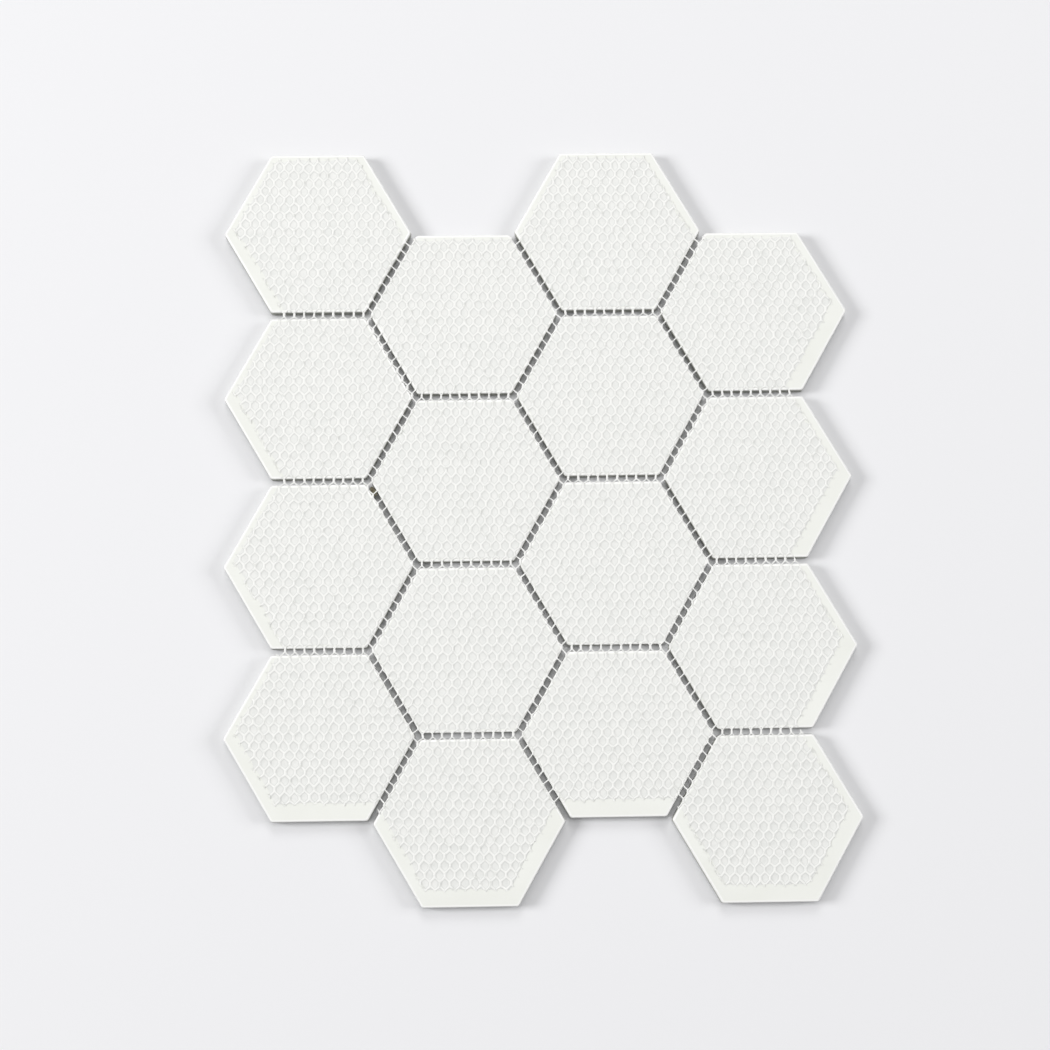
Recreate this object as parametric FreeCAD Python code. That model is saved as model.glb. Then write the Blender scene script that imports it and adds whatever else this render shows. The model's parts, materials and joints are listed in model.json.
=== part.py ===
import FreeCAD, Part
import math
import os

# Sheet of porcelain hexagon floor tiles, mounted on a net that is glued to their backs.
# Millimetres. The sheet lies face down on a level floor, as it is stored:
# the glazed faces are at z = 0 and the net is on top. +Y runs up the columns of tiles
# and +X across them. The origin is the centre of the sheet's footprint, on the floor.

# Tiles
TILE_FLATS = 73.0            # across flats, at the widest band of the edge
TILE_THICKNESS = 6.0
BAND_HEIGHT = 3.2            # from the glazed face up to where the edge starts to lean in
BACK_DRAFT = 0.25            # how far each edge has leaned in by the back
FACE_ROUND = 1.2             # radius of the cushioned arris round the glazed face
FACE_STEPS = 4               # flats that the radius is built from, to keep so many tiles light
BACK_ARRIS = 0.8             # bevel round the unglazed back
CORNER_EASE = 0.25           # how far the six points are eased back, seen from above

# Layout of the sheet
COLUMNS = 4
ROWS = 4
JOINT = 2.4                  # grout joint between two tiles at their widest band

# Net and the glue film that holds it to the backs
NET_THICKNESS = 0.45
NET_MARGIN = 4.4             # from the outermost edges of the tiles in to the net's cut edge
NET_SHIFT_X = -1.0           # how far off the sheet's centre the net's cut outline lies
NET_SHIFT_Y = 2.75
MESH_WIDTH = 4.35            # from one bond to the next along a row of meshes
BOND_LENGTH = 1.95           # knitted bond between two meshes of a row, along Y
BOND_WIDTH = 0.85
LEG_RISE = 1.82              # rise along Y of the thin leg that joins two bonds
LEG_WIDTH = 0.65
MESH_RAISE = 0.45            # how far the meshes are centred above the points where joints meet
SMALLEST_OPENING = 2.0       # square millimetres; the glue closes any smaller opening

# What follows from the sizes above
PITCH = TILE_FLATS + JOINT
COLUMN_STEP = PITCH * math.sqrt(3) / 2
TILE_CORNERS = TILE_FLATS * 2 / math.sqrt(3)
MESH_ROW = BOND_LENGTH + LEG_RISE


def tile_centre(column, row):
    """Centre of a tile; even columns stand half a pitch higher than odd ones."""
    x = (column - (COLUMNS - 1) / 2) * COLUMN_STEP
    half_step = PITCH / 4 if column % 2 == 0 else -PITCH / 4
    y = ((ROWS - 1) / 2 - row) * PITCH + half_step
    return FreeCAD.Vector(x, y, 0)


def hexagon(flats, z):
    """Closed wire of a sharp hexagon about the origin, with two flats along X."""
    radius = flats / math.sqrt(3)
    points = []
    for corner in range(7):
        angle = math.radians(60 * corner)
        points.append(FreeCAD.Vector(radius * math.cos(angle), radius * math.sin(angle), z))
    return Part.makePolygon(points)


def eased_hexagon(inset, z):
    """Corners of a tile's outline pulled in by inset: a hexagon with its six points eased off."""
    side = TILE_FLATS / 2 - inset
    point = TILE_CORNERS / 2 - CORNER_EASE - inset
    turn = math.radians(30)
    half_flat = (side - point * math.cos(turn)) / math.sin(turn)
    corners = []
    for corner in range(6):
        angle = math.radians(60 * corner)
        outwards = FreeCAD.Vector(math.cos(angle), math.sin(angle), 0)
        along = FreeCAD.Vector(-math.sin(angle), math.cos(angle), 0)
        for end in (-half_flat, half_flat):
            corners.append(outwards * point + along * end + FreeCAD.Vector(0, 0, z))
    return corners


def stacked_solid(rings):
    """Solid from level rings of points, one above the other, with flat faces between them."""
    faces = [
        Part.Face(Part.makePolygon(rings[0][::-1] + rings[0][-1:])),
        Part.Face(Part.makePolygon(rings[-1] + rings[-1][:1])),
    ]
    for lower, upper in zip(rings, rings[1:]):
        for index in range(len(lower)):
            following = (index + 1) % len(lower)
            around = [lower[index], lower[following], upper[following], upper[index], lower[index]]
            faces.append(Part.Face(Part.makePolygon(around)))
    return Part.Solid(Part.Shell(faces))


def make_tile():
    """One pressed and fired tile, face down: cushioned arris, band, leaning edge, bevelled back."""
    rings = []
    for step in range(FACE_STEPS + 1):
        angle = math.radians(90 * step / FACE_STEPS)
        inset = FACE_ROUND * (1 - math.sin(angle))
        rings.append(eased_hexagon(inset, FACE_ROUND * (1 - math.cos(angle))))
    rings.append(eased_hexagon(0, BAND_HEIGHT))
    rings.append(eased_hexagon(BACK_DRAFT, TILE_THICKNESS - BACK_ARRIS))
    rings.append(eased_hexagon(BACK_DRAFT + BACK_ARRIS, TILE_THICKNESS))
    return stacked_solid(rings)


def hexagons_at_tiles(flats):
    """One level hexagon over each tile, at the height of the backs."""
    faces = []
    for column in range(COLUMNS):
        for row in range(ROWS):
            wire = hexagon(flats, TILE_THICKNESS)
            wire.translate(tile_centre(column, row))
            faces.append(Part.Face(wire))
    return faces


def sheet_outline(inset):
    """Face under the whole sheet at net height, pulled in by inset from the tiles' edges."""
    cells = hexagons_at_tiles(PITCH)
    footprint = cells[0].fuse(cells[1:]).removeSplitter()
    outline = footprint.Faces[0].OuterWire
    pulled_in = Part.Face(outline).makeOffset2D(-(inset + JOINT / 2), 2)
    return pulled_in.Faces[0]


def mesh_opening():
    """Wire of one open mesh about the origin: two upright sides, two points along Y."""
    half_width = MESH_WIDTH / 2 - BOND_WIDTH / 2
    slope = LEG_RISE / (MESH_WIDTH / 2)
    leg_drop = LEG_WIDTH / 2 * math.sqrt(1 + slope * slope)
    tip = BOND_LENGTH / 2 + LEG_RISE - leg_drop
    shoulder = tip - half_width * slope
    points = [
        FreeCAD.Vector(half_width, -shoulder, TILE_THICKNESS),
        FreeCAD.Vector(half_width, shoulder, TILE_THICKNESS),
        FreeCAD.Vector(0, tip, TILE_THICKNESS),
        FreeCAD.Vector(-half_width, shoulder, TILE_THICKNESS),
        FreeCAD.Vector(-half_width, -shoulder, TILE_THICKNESS),
        FreeCAD.Vector(0, -tip, TILE_THICKNESS),
    ]
    return Part.makePolygon(points + points[:1])


def lies_on_joint(x, y, reach):
    """True where a point is within reach of the middle of a joint."""
    nearest = 0.0
    for column in range(COLUMNS):
        for row in range(ROWS):
            centre = tile_centre(column, row)
            depth = PITCH / 2
            for side in range(6):
                angle = math.radians(30 + 60 * side)
                along = (x - centre.x) * math.cos(angle) + (y - centre.y) * math.sin(angle)
                depth = min(depth, PITCH / 2 - along)
            nearest = max(nearest, depth)
    return nearest < reach


def open_meshes(region):
    """Openings of the net over the joints; over the backs the glue film fills them."""
    box = region.BoundBox
    opening = Part.Face(mesh_opening())
    columns = int(math.ceil(max(-box.XMin, box.XMax) / MESH_WIDTH)) + 1
    rows = int(math.ceil(max(-box.YMin, box.YMax) / MESH_ROW)) + 1
    near_joint = MESH_WIDTH / 2 + JOINT
    meshes = []
    for row in range(-rows, rows + 1):
        for column in range(-columns, columns + 1):
            x = (column + (row % 2) / 2) * MESH_WIDTH
            y = MESH_RAISE + row * MESH_ROW
            if not lies_on_joint(x, y, near_joint):
                continue
            mesh = opening.copy()
            mesh.translate(FreeCAD.Vector(x, y, 0))
            meshes.append(mesh)
    cut_out = region.common(Part.makeCompound(meshes))
    return [face for face in cut_out.Faces if face.Area > SMALLEST_OPENING]


def make_net():
    """Net with its glue film: one thin skin on the backs, open over the joints."""
    shift = FreeCAD.Vector(NET_SHIFT_X, NET_SHIFT_Y, 0)
    outline = sheet_outline(NET_MARGIN)
    outline.translate(shift)
    inner = sheet_outline(NET_MARGIN + BOND_WIDTH)
    inner.translate(shift)
    joints = inner.cut(hexagons_at_tiles(TILE_FLATS - 2 * BACK_DRAFT))
    wires = [outline.OuterWire]
    for opening in open_meshes(joints):
        wires.append(opening.OuterWire.reversed())
    skin = Part.Face(wires)
    return skin.extrude(FreeCAD.Vector(0, 0, NET_THICKNESS))


def main():
    os.makedirs("parts", exist_ok=True)
    tile = make_tile()
    for column in range(COLUMNS):
        for row in range(ROWS):
            placed = tile.copy()
            placed.translate(tile_centre(column, row))
            placed.exportStep("parts/tile_col%d_row%d.step" % (column + 1, row + 1))
    net = make_net()
    net.exportStep("parts/net_backing.step")
    print("tile volume %.1f mm3, across corners %.2f mm" % (tile.Volume, TILE_CORNERS))
    print("net volume %.1f mm3, faces %d" % (net.Volume, len(net.Faces)))


main()
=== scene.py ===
"""Looks of a net-mounted sheet of hexagon floor tiles, lying face down with its net on top.

Pieces are shaped on a bench in millimetres, in the frame's own axes, and brought to metres when they are done.
"""

import json
import logging
import math
from contextlib import contextmanager
from dataclasses import dataclass, field
from enum import Enum
from typing import Any, Callable, Iterator

import bmesh
import bpy
import numpy as np
from mathutils import Matrix, Vector, noise

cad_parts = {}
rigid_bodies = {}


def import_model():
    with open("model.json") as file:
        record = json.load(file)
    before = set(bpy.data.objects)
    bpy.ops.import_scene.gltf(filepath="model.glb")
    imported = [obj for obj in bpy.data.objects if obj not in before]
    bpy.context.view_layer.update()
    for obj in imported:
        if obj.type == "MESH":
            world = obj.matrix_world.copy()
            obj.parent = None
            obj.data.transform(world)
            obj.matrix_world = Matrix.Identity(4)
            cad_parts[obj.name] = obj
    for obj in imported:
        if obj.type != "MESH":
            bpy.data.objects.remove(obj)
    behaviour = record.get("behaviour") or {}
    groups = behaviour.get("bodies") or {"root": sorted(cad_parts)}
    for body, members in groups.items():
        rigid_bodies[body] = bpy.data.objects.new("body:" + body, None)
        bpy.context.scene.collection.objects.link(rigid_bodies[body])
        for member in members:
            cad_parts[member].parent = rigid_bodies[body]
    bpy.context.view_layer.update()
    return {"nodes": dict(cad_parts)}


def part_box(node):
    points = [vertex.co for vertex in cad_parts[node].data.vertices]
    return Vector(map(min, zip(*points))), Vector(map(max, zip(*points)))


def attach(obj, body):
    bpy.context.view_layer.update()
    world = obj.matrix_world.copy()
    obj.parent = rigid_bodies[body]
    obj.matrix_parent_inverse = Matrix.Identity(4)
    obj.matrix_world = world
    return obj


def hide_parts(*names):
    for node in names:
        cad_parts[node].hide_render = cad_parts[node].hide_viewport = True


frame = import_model()

LOG = logging.getLogger("tile_sheet")
METRES = 0.001                      # metres in a millimetre
HEXAGON_TURN = math.radians(30)     # turns a six-sided primitive's points from +-Y to +-X
PICTURE_WIDTH = 1050                # pixels across the square picture
SENSOR_WIDTH = 36.0                 # mm
BEDDED = "bedded"                   # attribute of the yarn: 1 where it lies on a tile's back, 0 over a joint
# the rim attribute also marks where the painted highlight goes
RIM = "rim"                         # attribute of a tile: 1 on the rim round its back, fading out on the flat


class Element(Enum):
    """What edit mode selects."""

    VERTEX = "VERT"
    EDGE = "EDGE"
    FACE = "FACE"


class Quarter(Enum):
    """Quarters that the net's yarns are made in, to keep each mesh light, by their sides along X and Y."""

    FAR_LEFT = (-1, 1)
    FAR_RIGHT = (1, 1)
    NEAR_LEFT = (-1, -1)
    NEAR_RIGHT = (1, -1)


def linear(colour: str) -> tuple[float, float, float, float]:
    """Turns an sRGB hex colour to linear light.

    Args:
        colour: Six hex digits after a #.

    Returns:
        Linear red, green and blue, and an alpha of 1.
    """
    shares = [int(colour[i:i + 2], 16) / 255 for i in (1, 3, 5)]
    light = [s / 12.92 if s <= 0.04045 else ((s + 0.055) / 1.055) ** 2.4 for s in shares]
    return (light[0], light[1], light[2], 1.0)


def add_node(tree: bpy.types.NodeTree, kind: str, inputs: dict | None = None, **settings: Any) -> bpy.types.Node:
    """Adds a node with its settings and links.

    Args:
        tree: Node tree that takes the node.
        kind: Type of the node, as Blender names it after "ShaderNode".
        inputs: Value, socket or node for each input, by its name or number. A node gives its first output.
        settings: Properties of the node itself.

    Returns:
        The new node.
    """
    node = tree.nodes.new("ShaderNode" + kind)
    for name, value in settings.items():
        setattr(node, name, value)
    for name, value in (inputs or {}).items():
        socket = node.inputs[name] if isinstance(name, int) else shown_socket(node.inputs, name)
        if isinstance(value, bpy.types.Node):
            value = shown_socket(value.outputs)
        if isinstance(value, bpy.types.NodeSocket):
            tree.links.new(value, socket)
        else:
            socket.default_value = value
    return node


def shown_socket(sockets: Any, name: str | None = None) -> bpy.types.NodeSocket:
    """Gives the first socket in use, of that name if one is given."""
    return next(socket for socket in sockets if socket.enabled and name in (None, socket.name))


def new_material(name: str) -> tuple[bpy.types.Material, bpy.types.NodeTree]:
    """Makes an empty node material and gives it with its tree."""
    material = bpy.data.materials.new(name)
    material.use_nodes = True
    material.node_tree.nodes.clear()
    return material, material.node_tree


def millimetre_coordinates(tree: bpy.types.NodeTree) -> bpy.types.NodeSocket:
    """Gives the place on the piece in millimetres, in the shared frame."""
    place = add_node(tree, "TexCoord")
    scaled = add_node(tree, "Mapping", {"Vector": place.outputs["Object"], "Scale": (1000.0, 1000.0, 1000.0)})
    return scaled


def make_active(piece: bpy.types.Object) -> None:
    """Selects one piece alone and makes it the active one."""
    bpy.ops.object.select_all(action="DESELECT")
    piece.select_set(True)
    bpy.context.view_layer.objects.active = piece


@contextmanager
def editing(piece: bpy.types.Object, element: Element) -> Iterator[None]:
    """Opens a piece in edit mode with nothing selected, and closes it again.

    Args:
        piece: Mesh object to edit.
        element: What is selected while it is open.
    """
    make_active(piece)
    bpy.ops.object.mode_set(mode="EDIT")
    bpy.ops.mesh.select_mode(type=element.value)
    bpy.ops.mesh.select_all(action="DESELECT")
    yield
    bpy.ops.object.mode_set(mode="OBJECT")


def select(piece: bpy.types.Object, element: Element, test: Callable[[Any], bool]) -> None:
    """Selects by place or normal, in edit mode, and deselects the rest.

    Args:
        piece: Mesh object that is open in edit mode.
        element: What is tested.
        test: True for an element that is to be selected.
    """
    bpy.ops.mesh.select_all(action="DESELECT")
    mesh = bmesh.from_edit_mesh(piece.data)
    pools = {Element.VERTEX: mesh.verts, Element.EDGE: mesh.edges, Element.FACE: mesh.faces}
    for item in pools[element]:
        if test(item):
            item.select_set(True)
    mesh.select_flush_mode()
    bmesh.update_edit_mesh(piece.data)


def at_height(height: float) -> Callable[[Any], bool]:
    """Gives a test for edges that lie level at a height."""
    return lambda edge: all(abs(corner.co.z - height) < 0.001 for corner in edge.verts)


def at_level(height: float) -> Callable[[Any], bool]:
    """Gives a test for points that lie at a height."""
    return lambda corner: abs(corner.co.z - height) < 0.001


def apply_modifiers(piece: bpy.types.Object) -> None:
    """Applies every modifier of a piece, in order."""
    make_active(piece)
    for modifier in list(piece.modifiers):
        bpy.ops.object.modifier_apply(modifier=modifier.name)


def copy_of(piece: bpy.types.Object, name: str) -> bpy.types.Object:
    """Copies a piece with a mesh of its own."""
    copied = piece.copy()
    copied.data = piece.data.copy()
    copied.name = name
    bpy.context.scene.collection.objects.link(copied)
    return copied


def shift_mesh(piece: bpy.types.Object, move: tuple[float, float, float]) -> None:
    """Moves a piece and leaves its object at the origin."""
    make_active(piece)
    piece.location = move
    bpy.ops.object.transform_apply(location=True, rotation=True, scale=True)


def trim(piece: bpy.types.Object, cutter: bpy.types.Object) -> None:
    """Keeps only what lies inside a closed cutter.

    Args:
        piece: Closed mesh to cut.
        cutter: Closed mesh that bounds what stays.
    """
    modifier = piece.modifiers.new("Trim", "BOOLEAN")
    modifier.operation = "INTERSECT"
    modifier.solver = "MANIFOLD"
    modifier.object = cutter
    apply_modifiers(piece)
    if not piece.data.polygons:
        raise RuntimeError(f"nothing of {piece.name} was left after its trim")


def discard(*pieces: bpy.types.Object) -> None:
    """Deletes helper objects and their meshes."""
    for piece in pieces:
        mesh = piece.data
        bpy.data.objects.remove(piece)
        bpy.data.meshes.remove(mesh)


def read_points(piece: bpy.types.Object) -> np.ndarray:
    """Gives the places of all vertices, one row each."""
    flat = np.zeros(len(piece.data.vertices) * 3, np.float32)
    piece.data.vertices.foreach_get("co", flat)
    return flat.reshape(-1, 3).astype(float)


def write_points(piece: bpy.types.Object, points: np.ndarray) -> None:
    """Puts all vertices at the places given, one row each."""
    piece.data.vertices.foreach_set("co", points.astype(np.float32).ravel())
    piece.data.update()


def wander(piece: bpy.types.Object, amount: float, grain: float, seed: float) -> None:
    """Moves vertices sideways by a smooth random field, so that neighbours move together.

    Args:
        piece: Mesh object.
        amount: Largest likely move, in mm.
        grain: Distance over which the move changes, in mm.
        seed: Picks another field of the same kind.
    """
    points = read_points(piece)
    offset = Vector((seed, -seed, seed))
    moves = [noise.noise_vector(Vector((x / grain, y / grain, 0.0)) + offset) for x, y, _ in points]
    points[:, :2] += amount * np.array([(move.x, move.y) for move in moves])
    write_points(piece, points)


@dataclass(frozen=True)
class PorcelainFinish:
    """Pressed and fired white porcelain, glazed on the face that lies down.

    The bare body is matt and faintly warm, with a fine grain. The glaze is smoother and brighter and ends in an
    uneven line part of the way up the edge. The rim round the back was rubbed smooth before firing, so it takes a
    soft shine; its whiter colour is a painted highlight. The bare edge below it is painted greyer, a painted shade
    that darkens the joints.
    """

    name: str = "porcelain_pressed_and_glazed"
    body: str = "#F4F5F0"
    body_shade: str = "#EFF0EA"
    glaze: str = "#F4F5F2"
    # painted highlight: the rim round the back is painted whiter than the back, so its edge shows a bright line
    rim: str = "#FEFEFC"
    # painted shade: the bare edge below the rim is painted greyer, so the joints between the tiles look dark
    side: str = "#BABBB5"
    painted_shade_top: float = 5.2           # mm above the face, where the edge's painted shade has faded into the rim
    glaze_line: float = 1.6         # mm above the face
    line_waver: float = 0.35        # mm up and down
    body_roughness: float = 0.6
    rim_roughness: float = 0.22
    glaze_roughness: float = 0.16
    patch_size: float = 22.0        # mm, soft changes of tone from pressing
    grain_size: float = 0.28        # mm, coarser than the real grain so that it shows
    peel_size: float = 1.6          # mm, ripple of the glaze

    def material(self) -> bpy.types.Material:
        """Makes the material."""
        material, tree = new_material(self.name)
        place = millimetre_coordinates(tree)
        patches = add_node(tree, "TexNoise", {"Vector": place, "Scale": 1 / self.patch_size, "Detail": 3.0})
        grain = add_node(tree, "TexNoise", {"Vector": place, "Scale": 1 / self.grain_size, "Detail": 2.0})
        mottle = add_node(
            tree, "Mix", {"Factor": 0.35, "A": patches, "B": grain}, data_type="FLOAT")
        tone = add_node(
            tree, "MapRange", {"Value": mottle, "From Min": 0.35, "From Max": 0.65})
        bare = add_node(
            tree, "Mix",
            {"Factor": tone, "A": linear(self.body_shade), "B": linear(self.body)},
            data_type="RGBA")
        height = add_node(tree, "SeparateXYZ", {"Vector": place})
        waver = add_node(tree, "TexNoise", {"Vector": place, "Scale": 0.12, "Detail": 2.0})
        lifted = add_node(
            tree, "Math", {0: waver, 1: 2 * self.line_waver, 2: height.outputs["Z"]},
            operation="MULTIPLY_ADD")
        glazed = add_node(
            tree, "MapRange",
            {"Value": lifted, "From Min": self.glaze_line + self.line_waver - 0.06,
             "From Max": self.glaze_line + self.line_waver + 0.06, "To Min": 1.0, "To Max": 0.0},
            interpolation_type="SMOOTHSTEP")
        # painted shade: greyer colour on the bare edge below the rim, which darkens the joints
        painted_shade_mask = add_node(
            tree, "MapRange",
            {"Value": height.outputs["Z"], "From Min": self.painted_shade_top, "From Max": self.painted_shade_top - 0.5})
        with_painted_shade = add_node(
            tree, "Mix", {"Factor": painted_shade_mask, "A": bare, "B": linear(self.side)}, data_type="RGBA")
        rim = add_node(tree, "Attribute", attribute_name=RIM)
        on_rim = add_node(
            tree, "MapRange", {"Value": rim.outputs["Fac"], "From Min": 0.1, "From Max": 0.5})
        # painted highlight: whiter colour on the rim round the back
        with_painted_highlight = add_node(
            tree, "Mix", {"Factor": on_rim, "A": with_painted_shade, "B": linear(self.rim)}, data_type="RGBA")
        colour = add_node(
            tree, "Mix",
            {"Factor": glazed, "A": with_painted_highlight, "B": linear(self.glaze)},
            data_type="RGBA")
        matt = add_node(
            tree, "Mix", {"Factor": on_rim, "A": self.body_roughness, "B": self.rim_roughness}, data_type="FLOAT")
        roughness = add_node(
            tree, "Mix", {"Factor": glazed, "A": matt, "B": self.glaze_roughness}, data_type="FLOAT")
        peel = add_node(tree, "TexNoise", {"Vector": place, "Scale": 1 / self.peel_size, "Detail": 1.0})
        relief = add_node(
            tree, "Mix",
            {"Factor": glazed, "A": grain, "B": peel},
            data_type="FLOAT")
        bump = add_node(tree, "Bump", {"Strength": 0.22, "Distance": 0.00004, "Height": relief})
        shader = add_node(
            tree, "BsdfPrincipled",
            {"Base Color": colour, "Roughness": roughness, "IOR": 1.5,
             "Normal": bump})
        add_node(tree, "OutputMaterial", {"Surface": shader})
        return material


@dataclass(frozen=True)
class YarnFinish:
    """Bleached polyester yarn, twisted from two plies and knitted: the brightest white of the sheet.

    Where it lies on a back the glue has soaked parts of it, which are duller and close to the film in tone.
    """

    name: str = "polyester_yarn_knitted"
    colour: str = "#FEFEFC"
    # painted shade: the grooves between the plies are painted a little darker
    groove_shade: str = "#F4F4F1"
    soaked: str = "#E8E9E5"
    soak_size: float = 1.7          # mm, length of the stretches that are soaked or dry
    twist: float = 0.62             # mm of yarn to a full turn, slower than the real one so that it shows
    plies: int = 2

    def material(self) -> bpy.types.Material:
        """Makes the material. The yarn's own UV map runs along the thread and round it."""
        material, tree = new_material(self.name)
        yarn = add_node(tree, "UVMap", uv_map="yarn")
        turn = 2 * math.pi
        phase = add_node(
            tree, "VectorMath", {0: yarn, 1: (turn / self.twist, turn * self.plies, 0.0)},
            operation="DOT_PRODUCT")
        wave = add_node(tree, "Math", {0: phase}, operation="SINE")
        ply = add_node(tree, "MapRange", {"Value": wave, "From Min": -1.0, "From Max": 1.0})
        # painted shade: the twist darkens the colour in the grooves between the plies
        colour = add_node(
            tree, "Mix", {"Factor": ply, "A": linear(self.groove_shade), "B": linear(self.colour)},
            data_type="RGBA")
        place = millimetre_coordinates(tree)
        blotches = add_node(tree, "TexNoise", {"Vector": place, "Scale": 1 / self.soak_size, "Detail": 1.0})
        wet = add_node(tree, "MapRange", {"Value": blotches, "From Min": 0.45, "From Max": 0.62})
        bedded = add_node(tree, "Attribute", attribute_name=BEDDED)
        soak = add_node(
            tree, "Math", {0: wet, 1: bedded.outputs["Fac"]}, operation="MULTIPLY")
        toned = add_node(
            tree, "Mix", {"Factor": soak, "A": colour, "B": linear(self.soaked)}, data_type="RGBA")
        bump = add_node(tree, "Bump", {"Strength": 0.5, "Distance": 0.00006, "Height": ply})
        shader = add_node(
            tree, "BsdfPrincipled",
            {"Base Color": toned, "Roughness": 0.72, "IOR": 1.5,
             "Sheen Weight": 0.08, "Normal": bump})
        add_node(tree, "OutputMaterial", {"Surface": shader})
        return material


@dataclass(frozen=True)
class GlueFinish:
    """Clear glue rolled over the net and dried to a thin film on the bare body, a little greyer and glossier than it.

    It is drawn up to the yarns, and loose fibres whiten it there. Beside them it is thicker and painted grey, partly
    for the thicker film and partly as painted shade beside the yarns, which leaves a soft ring in each mesh, and the
    middle of a mesh is nearly bare.
    """

    name: str = "glue_film_dried"
    thin: str = "#F1F1EE"
    thick: str = "#E7E8E5"
    # thick glue and painted shade: the ring beside the yarns is painted grey
    thick_glue_and_shade: str = "#DCDDDA"
    fibre: str = "#F8F8F5"
    bare_height: float = 6.088      # mm, up to which the film looks bare
    ring_height: float = 6.13       # mm, where the ring of thick glue and painted shade is greyest
    fibre_height: float = 6.225     # mm, from where fibres whiten it
    drift: float = 0.035            # mm that these heights drift up and down
    drift_size: float = 1.7         # mm
    pool_size: float = 4.5          # mm, how far the film's thickness drifts

    def material(self) -> bpy.types.Material:
        """Makes the material."""
        material, tree = new_material(self.name)
        place = millimetre_coordinates(tree)
        pools = add_node(
            tree, "TexNoise", {"Vector": place, "Scale": 1 / self.pool_size, "Detail": 4.0, "Roughness": 0.75})
        depth = add_node(tree, "MapRange", {"Value": pools, "From Min": 0.38, "From Max": 0.64})
        flat = add_node(
            tree, "Mix", {"Factor": depth, "A": linear(self.thin), "B": linear(self.thick)},
            data_type="RGBA")
        height = add_node(tree, "SeparateXYZ", {"Vector": place})
        drifts = add_node(tree, "TexNoise", {"Vector": place, "Scale": 1 / self.drift_size, "Detail": 2.0})
        raised = add_node(
            tree, "Math", {0: drifts, 1: 2 * self.drift, 2: height.outputs["Z"]}, operation="MULTIPLY_ADD")
        # painted shade and thicker glue: greyer colour rising towards the yarns
        fillet_and_shade_mask = add_node(
            tree, "MapRange",
            {"Value": raised, "From Min": self.bare_height + self.drift, "From Max": self.ring_height + self.drift})
        with_fillet_and_shade = add_node(
            tree, "Mix", {"Factor": fillet_and_shade_mask, "A": flat, "B": linear(self.thick_glue_and_shade)}, data_type="RGBA")
        frayed = add_node(
            tree, "MapRange",
            {"Value": raised, "From Min": self.ring_height + self.drift, "From Max": self.fibre_height + self.drift})
        colour = add_node(
            tree, "Mix", {"Factor": frayed, "A": with_fillet_and_shade, "B": linear(self.fibre)}, data_type="RGBA")
        roughness = add_node(
            tree, "MapRange",
            {"Value": pools, "From Min": 0.3, "From Max": 0.7, "To Min": 0.5, "To Max": 0.34})
        ripple = add_node(tree, "TexNoise", {"Vector": place, "Scale": 0.9, "Detail": 3.0})
        bump = add_node(tree, "Bump", {"Strength": 0.35, "Distance": 0.00005, "Height": ripple})
        shader = add_node(
            tree, "BsdfPrincipled",
            {"Base Color": colour, "Roughness": roughness, "IOR": 1.47,
             "Normal": bump})
        add_node(tree, "OutputMaterial", {"Surface": shader})
        return material


@dataclass(frozen=True)
class PaperFinish:
    """Seamless white studio paper. Seen straight it is nearly white; it throws less light back on the sheet."""

    name: str = "studio_paper"
    seen: str = "#F0F0F2"
    bounced: str = "#A8A8AA"

    def material(self) -> bpy.types.Material:
        """Makes the material."""
        material, tree = new_material(self.name)
        rays = add_node(tree, "LightPath")
        straight = add_node(
            tree, "Math", {0: rays.outputs["Is Camera Ray"], 1: rays.outputs["Is Glossy Ray"]}, operation="MAXIMUM")
        seen = add_node(tree, "BsdfDiffuse", {"Color": linear(self.seen)})
        bounced = add_node(tree, "BsdfDiffuse", {"Color": linear(self.bounced)})
        shown = add_node(
            tree, "MixShader", {0: straight, 1: bounced, 2: seen})
        add_node(tree, "OutputMaterial", {"Surface": shown})
        return material


@dataclass(frozen=True)
class TilePlace:
    """One tile of the sheet, read from its CAD node, in mm."""

    node: str
    x: float
    y: float


@dataclass
class SheetLayout:
    """Where the tiles lie and how large they are, all read from the frame, in mm."""

    places: list[TilePlace] = field(default_factory=list)
    flats: float = 0.0
    thickness: float = 0.0
    pitch: float = 0.0
    net_top: float = 0.0

    def read_frame(self) -> None:
        """Fills the layout from the CAD nodes."""
        for node in sorted(name for name in frame["nodes"] if name.startswith("tile_")):
            low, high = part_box(node)
            middle = (low + high) / 2 / METRES
            self.places.append(TilePlace(node, middle.x, middle.y))
            self.flats = (high.y - low.y) / METRES
            self.thickness = high.z / METRES
        column = [place.y for place in self.places if place.node.startswith("tile_col1_")]
        self.pitch = (max(column) - min(column)) / (len(column) - 1)
        self.net_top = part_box("net_backing")[1].z / METRES

    def joint_depth(self, points: np.ndarray) -> np.ndarray:
        """Gives how far each point lies from the middle of the nearest joint.

        Args:
            points: Places in mm, one row each.

        Returns:
            Distances in mm, 0 on the middle of a joint and outside the sheet.
        """
        depth = np.zeros(len(points))
        for place in self.places:
            away = points[:, :2] - (place.x, place.y)
            reach = np.zeros(len(points))
            for side in range(3):
                turn = HEXAGON_TURN + side * math.pi / 3
                reach = np.maximum(reach, np.abs(away @ (math.cos(turn), math.sin(turn))))
            depth = np.maximum(depth, self.pitch / 2 - reach)
        return depth

    def hexagons(self, name: str, flats: float, height: float) -> bpy.types.Object:
        """Lays one level hexagon face at every tile.

        Args:
            name: Name of the new piece.
            flats: Width of each hexagon across its flats, in mm.
            height: Height of the faces, in mm.

        Returns:
            One mesh object with a face for each tile.
        """
        bpy.ops.object.select_all(action="DESELECT")
        faces = []
        for place in self.places:
            bpy.ops.mesh.primitive_circle_add(
                vertices=6, radius=flats / math.sqrt(3), fill_type="NGON",
                location=(place.x, place.y, height), rotation=(0, 0, HEXAGON_TURN))
            faces.append(bpy.context.object)
        for face in faces:
            face.select_set(True)
        bpy.ops.object.join()
        joined = bpy.context.object
        joined.name = name
        make_active(joined)
        bpy.ops.object.transform_apply(location=True, rotation=True, scale=True)
        return joined


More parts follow.
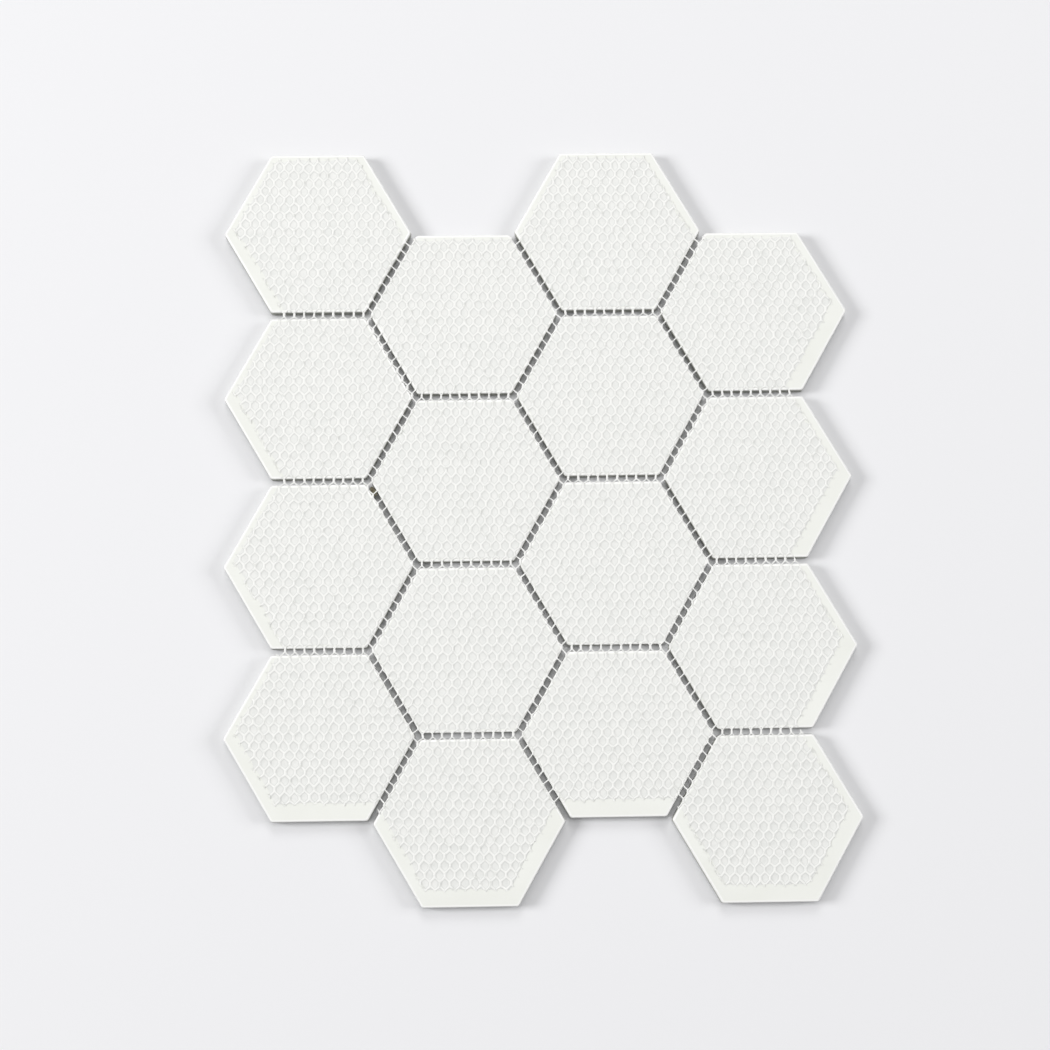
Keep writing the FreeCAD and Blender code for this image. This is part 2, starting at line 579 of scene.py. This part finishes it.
@dataclass
class HexagonTile:
    """One tile: cushioned glazed face below, a band round the edge, a slight lean in to the bare back."""

    layout: SheetLayout
    band_height: float = 3.2        # mm up to where the edge starts to lean in
    back_draft: float = 0.25        # mm that the edge has leaned in by the back
    face_round: float = 1.2         # mm, radius of the glazed arris
    back_round: float = 0.55        # mm, radius of the arris round the back
    point_round: float = 1.5        # mm, radius of the six points, seen from above
    round_steps: int = 6
    face_margin: float = 0.25       # mm, rim of the glazed flat that keeps its shading level
    rim_width: float = 0.5          # mm, rubbed rim of the back, painted whiter as a painted highlight

    def shape(self) -> bpy.types.Object:
        """Models the tile about the origin of the bench, face down.

        Returns:
            The finished mesh object, in mm.
        """
        height = self.layout.thickness
        bpy.ops.object.select_all(action="DESELECT")
        bpy.ops.mesh.primitive_cylinder_add(
            vertices=6, radius=self.layout.flats / math.sqrt(3), depth=height, end_fill_type="NGON",
            location=(0, 0, height / 2), rotation=(0, 0, HEXAGON_TURN))
        tile = bpy.context.object
        tile.name = "tile_pattern"
        bpy.ops.object.transform_apply(location=True, rotation=True, scale=True)
        with editing(tile, Element.EDGE):
            select(tile, Element.EDGE, lambda edge: abs(edge.verts[0].co.z - edge.verts[1].co.z) > height / 2)
            bpy.ops.mesh.bevel(
                offset=self.point_round * math.tan(HEXAGON_TURN), segments=self.round_steps, affect="EDGES")
            bpy.ops.mesh.select_all(action="SELECT")
            bpy.ops.mesh.bisect(plane_co=(0, 0, self.band_height), plane_no=(0, 0, 1))
            select(tile, Element.EDGE, at_height(height))
            narrowing = 1 - self.back_draft / (self.layout.flats / 2)
            bpy.ops.transform.resize(value=(narrowing, narrowing, 1), center_override=(0, 0, height))
            select(tile, Element.EDGE, at_height(0.0))
            bpy.ops.mesh.bevel(offset=self.face_round, segments=self.round_steps, affect="EDGES")
            select(tile, Element.EDGE, at_height(height))
            bpy.ops.mesh.bevel(offset=self.back_round, segments=self.round_steps, affect="EDGES")
        with editing(tile, Element.FACE):
            for side, margin in ((-1, self.face_margin), (1, self.rim_width)):
                select(tile, Element.FACE, lambda face: len(face.verts) > 4 and side * face.normal.z > 0.99)
                bpy.ops.mesh.inset(thickness=margin, use_even_offset=True)
        make_active(tile)
        bpy.ops.object.shade_smooth_by_angle(angle=math.radians(30))
        self.mark_rim(tile)
        return tile

    def mark_rim(self, tile: bpy.types.Object) -> None:
        """Notes the rim round the back, where the highlight is painted: the arris and a little of the flat beside it.
        """
        points = read_points(tile)
        reach = np.zeros(len(points))
        for side in range(3):
            turn = HEXAGON_TURN + side * math.pi / 3
            reach = np.maximum(reach, np.abs(points[:, :2] @ (math.cos(turn), math.sin(turn))))
        inner = self.layout.flats / 2 - self.back_draft - self.back_round - self.rim_width
        outwards = np.clip((reach - inner) / self.rim_width, 0, 1)
        foot = self.layout.thickness - self.back_round
        upwards = np.clip((points[:, 2] - foot) / (0.4 * self.back_round), 0, 1)
        rim = tile.data.attributes.new(RIM, "FLOAT", "POINT")
        rim.data.foreach_set("value", (outwards * upwards).astype(np.float32))

    def build(self, material: bpy.types.Material) -> list[bpy.types.Object]:
        """Copies the tile to every place of the sheet and dresses the copies.

        Args:
            material: Finish of all tiles.

        Returns:
            The finished pieces, in metres.
        """
        pattern = self.shape()
        pieces = []
        for place in self.layout.places:
            piece = copy_of(pattern, "porcelain_" + place.node)
            shift_mesh(piece, (place.x, place.y, 0.0))
            pieces.append(finish_piece(piece, material, place.node))
        discard(pattern)
        return pieces


@dataclass(frozen=True)
class MeshOutline:
    """Six-sided outline inside one mesh of the net: two upright sides and two points along Y, in mm."""

    half_width: float
    tip: float
    shoulder: float


@dataclass
class KnittedNet:
    """Net of yarn: upright knitted bonds joined by slanting legs, cut to the sheet's zigzag outline."""

    layout: SheetLayout
    mesh_width: float = 4.35
    bond_length: float = 1.65
    bond_width: float = 0.8
    leg_rise: float = 2.12
    leg_width: float = 0.54
    mesh_raise: float = 0.45                    # mm, meshes' middles above the points where joints meet
    thickness: float = 0.43
    bond_swell: float = 0.12                    # mm that each side of a bond stands out at its middle
    leg_thinning: float = 0.15                  # mm that the leg is lower at its middle
    press: float = 0.6                          # share of its height that the roller pressed out, at most
    press_size: float = 2.1                     # mm, length of the stretches that were pressed or spared
    shift: tuple[float, float] = (-1.0, 2.75)   # mm, middle of the cut outline off the sheet's centre
    margin: float = 4.4                         # mm, from the tiles' outer edges in to the cut edge
    sag: float = 0.16                           # mm, where the yarn crosses a joint
    split_at: tuple[float, float] = (0.55, 0.6)     # mm, where the quarters of the net meet

    @property
    def row_pitch(self) -> float:
        """Distance from one row of meshes to the next."""
        return self.bond_length + self.leg_rise

    def outline(self, bond_reach: float, leg_reach: float) -> MeshOutline:
        """Gives the outline at a distance in from the middles of the yarns.

        Args:
            bond_reach: Distance in from the bonds, in mm.
            leg_reach: Distance in from the legs, in mm.

        Returns:
            The outline, about the middle of the mesh.
        """
        slope = self.leg_rise / (self.mesh_width / 2)
        half_width = self.mesh_width / 2 - bond_reach
        tip = self.bond_length / 2 + self.leg_rise - leg_reach * math.hypot(1, slope)
        return MeshOutline(half_width, tip, tip - half_width * slope)

    def add_ring(self, piece: bpy.types.Object, outline: MeshOutline, height: float, middles: bool = False) -> None:
        """Adds a closed ring of edges to a piece in edit mode, and leaves only that ring selected.

        Args:
            piece: Mesh object that is open in edit mode.
            outline: Shape of the ring.
            height: Height of the ring, in mm.
            middles: Whether each side of the ring has a point at its middle.
        """
        bpy.ops.mesh.primitive_circle_add(vertices=6, radius=1.0, fill_type="NOTHING", location=(0, 0, height))
        centre = (0, 0, height)
        bpy.ops.transform.resize(
            value=(outline.half_width / math.cos(HEXAGON_TURN), outline.tip, 1), center_override=centre)
        self.narrow_selection(piece, lambda corner: abs(corner.co.y) < 0.75 * outline.tip)
        bpy.ops.transform.resize(value=(1, 2 * outline.shoulder / outline.tip, 1), center_override=centre)
        select(piece, Element.EDGE, at_height(height))
        if middles:
            bpy.ops.mesh.subdivide(number_cuts=1)

    def narrow_selection(self, piece: bpy.types.Object, test: Callable[[Any], bool]) -> None:
        """Keeps only those of the selected points that pass a test, in edit mode."""
        mesh = bmesh.from_edit_mesh(piece.data)
        for corner in mesh.verts:
            corner.select_set(corner.select and test(corner))
        bmesh.update_edit_mesh(piece.data)

    def join_rings(self, piece: bpy.types.Object, lower: float, upper: float) -> None:
        """Spans faces between the rings at two heights, in edit mode."""
        select(piece, Element.EDGE, lambda edge: at_height(lower)(edge) or at_height(upper)(edge))
        bpy.ops.mesh.bridge_edge_loops()

    def empty_piece(self, name: str) -> bpy.types.Object:
        """Adds a mesh object with nothing in it yet."""
        piece = bpy.data.objects.new(name, bpy.data.meshes.new(name))
        bpy.context.scene.collection.objects.link(piece)
        return piece

    def shape_yarn_mesh(self) -> bpy.types.Object:
        """Models the yarns round one mesh, each cut along its middle, about the height of the yarn's middle.

        The bonds are plump at their middles, where the loops lock, and the legs are drawn thin.
        """
        unit = self.empty_piece("yarn_mesh")
        half = self.thickness / 2
        shares = ((0.0, 1.0), (0.54, 0.78), (1.0, 0.0))
        rings = [
            (self.outline(share * self.bond_width / 2, share * self.leg_width / 2), share, level * half)
            for share, level in shares]
        with editing(unit, Element.VERTEX):
            for outline, share, height in rings:
                self.add_ring(unit, outline, height, middles=True)
            for above, below in zip(rings, rings[1:]):
                self.join_rings(unit, above[2], below[2])
            for outline, share, height in rings:
                level = at_level(height)
                if share > 0:
                    select(unit, Element.VERTEX, lambda corner: level(corner) and abs(corner.co.y) < 0.01)
                    narrowing = 1 - share * self.bond_swell / outline.half_width
                    bpy.ops.transform.resize(value=(narrowing, 1, 1), center_override=(0, 0, height))
            for outline, share, height in rings[:-1]:
                level = at_level(height)
                middle = (outline.tip + outline.shoulder) / 2
                select(
                    unit, Element.VERTEX, lambda corner: level(corner) and abs(abs(corner.co.y) - middle) < 0.05)
                bpy.ops.transform.translate(value=(0, 0, -self.leg_thinning * (1 - share)))
        mirror = unit.modifiers.new("Underside", "MIRROR")
        mirror.use_axis = (False, False, True)
        apply_modifiers(unit)
        self.lay_yarn_map(unit)
        return unit

    def lay_yarn_map(self, unit: bpy.types.Object) -> None:
        """Gives the yarns a UV map that runs along each one in mm and once round it."""
        layer = unit.data.uv_layers.new(name="yarn")
        slant = Vector((self.mesh_width / 2, self.leg_rise)).normalized()
        rise = Vector((-slant.x, slant.y))
        leg_middle = Vector((self.mesh_width / 4, self.bond_length / 2 + self.leg_rise / 2))
        sides = []
        for across in (1, -1):
            sides.append((Vector((across * self.mesh_width / 2, 0)), Vector((0, 1))))
            sides.append((across * leg_middle, rise))
            sides.append((across * Vector((-leg_middle.x, leg_middle.y)), slant))
        for face in unit.data.polygons:
            middle = Vector(face.center[:2])
            start, along = min(sides, key=lambda side: abs(self.reach_from(middle, *side)) + 10 * (middle.dot(side[0]) < 0))
            for corner in face.loop_indices:
                place = unit.data.vertices[unit.data.loops[corner].vertex_index].co
                reach = self.reach_from(Vector(place[:2]), start, along)
                around = math.atan2(abs(reach), place.z) / (2 * math.pi)
                side = math.copysign(1.0, self.reach_from(Vector((0, 0)), start, along))
                layer.data[corner].uv = ((Vector(place[:2]) - start).dot(along), side * around)

    def reach_from(self, place: Vector, start: Vector, along: Vector) -> float:
        """Gives the signed distance of a place from the line of a yarn."""
        away = place - start
        return away.x * along.y - away.y * along.x

    def shape_glue_mesh(self) -> bpy.types.Object:
        """Models the glue in one mesh: drawn up to the yarns and thin in the middle."""
        unit = self.empty_piece("glue_mesh")
        base = self.layout.thickness
        rings = (
            (self.outline(0.0, 0.0), base + 0.30),
            (self.outline(0.3, 0.24), base + 0.235),
            (self.outline(0.68, 0.52), base + 0.13),
            (self.outline(1.2, 0.95), base + 0.085),
        )
        with editing(unit, Element.VERTEX):
            for outline, height in rings:
                self.add_ring(unit, outline, height)
            for above, below in zip(rings, rings[1:]):
                self.join_rings(unit, above[1], below[1])
            select(unit, Element.EDGE, at_height(rings[-1][1]))
            bpy.ops.mesh.edge_face_add()
            self.add_ring(unit, rings[0][0], base)
            bpy.ops.mesh.edge_face_add()
        return unit

    def spread(self, unit: bpy.types.Object, height: float) -> bpy.types.Object:
        """Repeats one mesh over the whole sheet and closes the border.

        Args:
            unit: Piece for one mesh; it becomes the net.
            height: How far it is raised, in mm.

        Returns:
            The same object as one closed mesh, larger than the sheet.
        """
        reach_x = max(abs(place.x) for place in self.layout.places) + self.layout.flats / 2
        reach_y = max(abs(place.y) for place in self.layout.places) + self.layout.flats / 2
        columns = int(reach_x / self.mesh_width) + 2
        rows = int(reach_y / self.row_pitch / 2) + 2
        neighbour = copy_of(unit, "neighbour")
        shift_mesh(neighbour, (self.mesh_width / 2, self.row_pitch, 0.0))
        make_active(unit)
        neighbour.select_set(True)
        bpy.ops.object.join()
        shift_mesh(unit, (-columns * self.mesh_width, self.mesh_raise - 2 * rows * self.row_pitch, height))
        for count, step in ((2 * columns + 1, (self.mesh_width, 0, 0)), (2 * rows + 1, (0, 2 * self.row_pitch, 0))):
            array = unit.modifiers.new("Repeat", "ARRAY")
            array.count = count
            array.use_relative_offset = False
            array.use_constant_offset = True
            array.constant_offset_displace = step
        apply_modifiers(unit)
        with editing(unit, Element.VERTEX):
            bpy.ops.mesh.select_all(action="SELECT")
            bpy.ops.mesh.remove_doubles(threshold=0.01)
            bpy.ops.mesh.select_all(action="DESELECT")
            bpy.ops.mesh.select_non_manifold()
            bpy.ops.mesh.bridge_edge_loops()
            bpy.ops.mesh.select_all(action="SELECT")
            bpy.ops.mesh.normals_make_consistent(inside=False)
        return unit

    def ease_lay(self, piece: bpy.types.Object) -> None:
        """Pulls the meshes gently out of true, as a net that was laid by hand."""
        wander(piece, 0.55, 60.0, 3.7)
        wander(piece, 0.5, 12.0, 8.2)
        wander(piece, 0.42, 3.1, 5.4)

    def sheet_prism(self, name: str, inset: float, roughness: float) -> bpy.types.Object:
        """Makes a closed block inside the sheet's zigzag outline, to trim the net with.

        Args:
            name: Name of the block.
            inset: Distance in from the tiles' outer edges, in mm.
            roughness: How far the cut wanders from a straight line, in mm.

        Returns:
            The block, wide enough in height for every layer of the net.
        """
        bottom = self.layout.thickness - 2.0
        block = self.layout.hexagons(name, self.layout.pitch, bottom)
        with editing(block, Element.FACE):
            bpy.ops.mesh.select_all(action="SELECT")
            bpy.ops.mesh.remove_doubles(threshold=0.05)
            bpy.ops.mesh.dissolve_limited(angle_limit=math.radians(1))
            bpy.ops.mesh.select_all(action="SELECT")
            joint = self.layout.pitch - self.layout.flats
            bpy.ops.mesh.inset(thickness=inset + joint / 2, use_even_offset=True)
            bpy.ops.mesh.select_all(action="INVERT")
            bpy.ops.mesh.delete(type="FACE")
        self.rough_edge(block, roughness)
        shift_mesh(block, (self.shift[0], self.shift[1], 0.0))
        self.raise_block(block, 4.0)
        return block

    def rough_edge(self, block: bpy.types.Object, roughness: float) -> None:
        """Breaks the straight sides of level faces into short pieces that wander."""
        with editing(block, Element.EDGE):
            bpy.ops.mesh.select_all(action="SELECT")
            bpy.ops.mesh.subdivide(number_cuts=9)
        wander(block, roughness, 5.0, 1.3)

    def raise_block(self, block: bpy.types.Object, height: float) -> None:
        """Turns level faces into closed blocks."""
        with editing(block, Element.FACE):
            bpy.ops.mesh.select_all(action="SELECT")
            bpy.ops.mesh.extrude_region_move(TRANSFORM_OT_translate={"value": (0, 0, height)})
            bpy.ops.mesh.select_all(action="SELECT")
            bpy.ops.mesh.normals_make_consistent(inside=False)

    def quarter_of(self, block: bpy.types.Object, quarter: Quarter) -> bpy.types.Object:
        """Copies one quarter of a block."""
        part = copy_of(block, block.name + "_" + quarter.name.lower())
        with editing(part, Element.FACE):
            for axis, side in zip(((1, 0, 0), (0, 1, 0)), quarter.value):
                bpy.ops.mesh.select_all(action="SELECT")
                bpy.ops.mesh.bisect(
                    plane_co=(*self.split_at, 0), plane_no=axis, use_fill=True,
                    clear_outer=side < 0, clear_inner=side > 0)
        return part

    def drop_snippets(self, piece: bpy.types.Object) -> None:
        """Deletes what the cut left loose at the net's edge."""
        with editing(piece, Element.VERTEX):
            select(piece, Element.VERTEX, lambda corner: corner.co.xy.length < 2 * self.mesh_width)
            bpy.ops.mesh.select_linked()
            bpy.ops.mesh.select_all(action="INVERT")
            bpy.ops.mesh.delete(type="VERT")

    def settle(self, piece: bpy.types.Object) -> None:
        """Presses the yarns into the glue on the backs, and lets them sag a little over the joints.

        It also notes where they lie on a back.
        """
        points = read_points(piece)
        joint = self.layout.pitch - self.layout.flats
        bare = np.clip(1 - self.layout.joint_depth(points) / joint, 0, 1)
        grain = [noise.noise(Vector((x, y, 40.0)) / self.press_size) for x, y, _ in points]
        pressed = self.press * np.clip(0.5 + np.array(grain), 0, 1) * (1 - bare)
        rise = points[:, 2] - self.layout.thickness
        points[:, 2] -= pressed * rise + self.sag * bare * bare * (3 - 2 * bare)
        write_points(piece, points)
        bedded = piece.data.attributes.new(BEDDED, "FLOAT", "POINT")
        bedded.data.foreach_set("value", (1 - bare).astype(np.float32))

    def build(self, material: bpy.types.Material) -> list[bpy.types.Object]:
        """Knits the net, trims it to the sheet in four quarters and dresses them.

        Args:
            material: Finish of the yarn.

        Returns:
            The finished pieces, in metres.
        """
        net = self.spread(self.shape_yarn_mesh(), self.layout.thickness + self.thickness / 2)
        self.ease_lay(net)
        block = self.sheet_prism("net_outline", self.margin, 0.9)
        pieces = []
        for quarter in Quarter:
            piece = copy_of(net, "net_yarns_" + quarter.name.lower())
            part = self.quarter_of(block, quarter)
            trim(piece, part)
            self.drop_snippets(piece)
            self.settle(piece)
            make_active(piece)
            bpy.ops.object.shade_smooth_by_angle(angle=math.radians(70))
            pieces.append(finish_piece(piece, material, "net_backing"))
            discard(part)
        discard(net, block)
        return pieces

    def build_glue(self, material: bpy.types.Material) -> bpy.types.Object:
        """Spreads the glue film and trims it to the backs of the tiles.

        Args:
            material: Finish of the glue.

        Returns:
            The finished piece, in metres.
        """
        film = self.spread(self.shape_glue_mesh(), 0.0)
        film.name = "glue_film"
        self.ease_lay(film)
        outer = self.sheet_prism("glue_outline", self.margin + 0.9, 1.2)
        trim(film, outer)
        backs = self.layout.hexagons("glued_backs", self.layout.flats - 2.9, self.layout.thickness - 2.0)
        self.rough_edge(backs, 0.5)
        self.raise_block(backs, 4.0)
        trim(film, backs)
        discard(outer, backs)
        make_active(film)
        bpy.ops.object.shade_smooth_by_angle(angle=math.radians(50))
        return finish_piece(film, material, "net_backing")


@dataclass(frozen=True)
class DirtFinish:
    """Dried dirt, olive where it is thin and dark brown where it is thick."""

    name: str = "dirt_dried"
    thin: str = "#7F7B67"
    thick: str = "#514B3B"
    patch_size: float = 1.6         # mm

    def material(self) -> bpy.types.Material:
        """Makes the material."""
        material, tree = new_material(self.name)
        place = millimetre_coordinates(tree)
        patches = add_node(tree, "TexNoise", {"Vector": place, "Scale": 1 / self.patch_size, "Detail": 3.0})
        depth = add_node(tree, "MapRange", {"Value": patches, "From Min": 0.4, "From Max": 0.6})
        colour = add_node(
            tree, "Mix", {"Factor": depth, "A": linear(self.thin), "B": linear(self.thick)}, data_type="RGBA")
        bump = add_node(tree, "Bump", {"Strength": 0.6, "Distance": 0.0001, "Height": patches})
        shader = add_node(
            tree, "BsdfPrincipled", {"Base Color": colour, "Roughness": 0.85, "Normal": bump})
        add_node(tree, "OutputMaterial", {"Surface": shader})
        return material


@dataclass(frozen=True)
class DirtCrumb:
    """Crumb of dirt that has dried under the net in one joint, between two threads that cross it."""

    place: tuple[float, float, float] = (-73.55, 14.35, 5.1)    # mm
    radii: tuple[float, float, float] = (1.2, 2.3, 0.85)        # mm, across the joint, along it and upwards
    unevenness: float = 0.5                                     # mm
    grain: float = 1.3                                          # mm

    def build(self, material: bpy.types.Material) -> bpy.types.Object:
        """Models the crumb.

        Args:
            material: Finish of the dirt.

        Returns:
            The finished piece, in metres.
        """
        bpy.ops.object.select_all(action="DESELECT")
        bpy.ops.mesh.primitive_ico_sphere_add(
            subdivisions=4, radius=1.0, location=self.place, rotation=(0, 0, HEXAGON_TURN))
        crumb = bpy.context.object
        crumb.name = "dirt_crumb"
        crumb.scale = self.radii
        bpy.ops.object.transform_apply(location=True, rotation=True, scale=True)
        wander(crumb, self.unevenness, self.grain, 2.6)
        make_active(crumb)
        bpy.ops.object.shade_smooth()
        return finish_piece(crumb, material, "net_backing")


def finish_piece(piece: bpy.types.Object, material: bpy.types.Material, node: str) -> bpy.types.Object:
    """Brings a piece from the bench to the scene and hides the CAD node that it replaces.

    Args:
        piece: Finished mesh object, in mm.
        material: Its finish.
        node: CAD node that it replaces.

    Returns:
        The same object, in metres.
    """
    make_active(piece)
    piece.scale = (METRES, METRES, METRES)
    bpy.ops.object.transform_apply(location=True, rotation=True, scale=True)
    piece.data.materials.clear()
    piece.data.materials.append(material)
    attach(piece, "root")
    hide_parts(node)
    triangles = sum(len(face.vertices) - 2 for face in piece.data.polygons)
    LOG.info("%s: %d triangles", piece.name, triangles)
    return piece


@dataclass(frozen=True)
class SoftLamp:
    """Square lamp that faces the middle of the sheet."""

    name: str
    place: tuple[float, float, float]    # metres
    width: float                         # metres
    level: float                         # its share of the light on the sheet, where 1 shows a colour as written

    def hang(self) -> None:
        """Adds the lamp to the scene."""
        data = bpy.data.lights.new(self.name, "AREA")
        data.shape = "SQUARE"
        data.size = self.width
        place = Vector(self.place)
        slant = place.z / place.length
        data.energy = self.level * math.pi ** 2 * place.length_squared / slant
        lamp = bpy.data.objects.new(self.name, data)
        lamp.location = place
        lamp.rotation_euler = place.to_track_quat("Z", "Y").to_euler()
        bpy.context.scene.collection.objects.link(lamp)


@dataclass(frozen=True)
class Viewpoint:
    """Camera above the sheet, a little towards its lower edge, as it was fitted to the photograph's tile corners."""

    place: tuple[float, float, float] = (-25.8, -109.1, 886.8)    # mm
    turns: tuple[float, float, float] = (-6.958, 1.246, 0.696)    # degrees about X, Y and Z
    focal_pixels: float = 2000.0

    def set_up(self) -> None:
        """Makes the camera and sets it as the scene's."""
        data = bpy.data.cameras.new("camera")
        data.sensor_width = SENSOR_WIDTH
        data.lens = self.focal_pixels * SENSOR_WIDTH / PICTURE_WIDTH
        data.clip_start = 0.01
        camera = bpy.data.objects.new("camera", data)
        turn = Matrix.Identity(3)
        for axis, degrees in zip("XYZ", self.turns):
            turn = Matrix.Rotation(math.radians(degrees), 3, axis) @ turn
        camera.matrix_world = Matrix.Translation(Vector(self.place) * METRES) @ turn.transposed().to_4x4()
        bpy.context.scene.collection.objects.link(camera)
        bpy.context.scene.camera = camera


@dataclass
class Studio:
    """White paper floor under soft light that comes mostly from above and from the far side."""

    floor_width: float = 6.0
    floor_height: float = -0.00005
    surround_level: float = 0.205
    lamps: tuple[SoftLamp, ...] = (
        SoftLamp("overhead_lamp", (0.0, 0.6, 2.9), 0.9, 0.165),
        SoftLamp("far_lamp", (-0.1, 2.8, 2.9), 1.6, 0.145),
        SoftLamp("left_lamp", (-3.1, 0.2, 1.95), 1.3, 0.34),
        SoftLamp("right_lamp", (3.1, 0.2, 1.8), 1.5, 0.185),
    )

    def build(self) -> None:
        """Adds the floor, the surround and the lamps."""
        bpy.ops.object.select_all(action="DESELECT")
        bpy.ops.mesh.primitive_plane_add(size=self.floor_width, location=(0, 0, self.floor_height))
        floor = bpy.context.object
        floor.name = "floor"
        floor.data.materials.append(PaperFinish().material())
        for lamp in self.lamps:
            lamp.hang()
        self.light_surround()

    def light_surround(self) -> None:
        """Makes the surround nearly white to the eye and a plain dim light for everything else."""
        world = bpy.data.worlds.new("surround")
        bpy.context.scene.world = world
        world.use_nodes = True
        tree = world.node_tree
        tree.nodes.clear()
        rays = add_node(tree, "LightPath")
        level = add_node(
            tree, "Mix", {"Factor": rays.outputs["Is Camera Ray"], "A": self.surround_level, "B": 0.9},
            data_type="FLOAT")
        light = add_node(tree, "Background", {"Color": (1, 1, 1, 1), "Strength": level})
        add_node(tree, "OutputWorld", {"Surface": light})


def main() -> None:
    """Builds the sheet and the studio, and logs the triangles of each piece."""
    logging.basicConfig(level=logging.INFO, format="%(message)s")
    bpy.context.scene.view_settings.view_transform = "Standard"
    Viewpoint().set_up()
    Studio().build()
    layout = SheetLayout()
    layout.read_frame()
    HexagonTile(layout).build(PorcelainFinish().material())
    net = KnittedNet(layout)
    net.build_glue(GlueFinish().material())
    net.build(YarnFinish().material())
    DirtCrumb().build(DirtFinish().material())


if __name__ == "__main__":
    main()
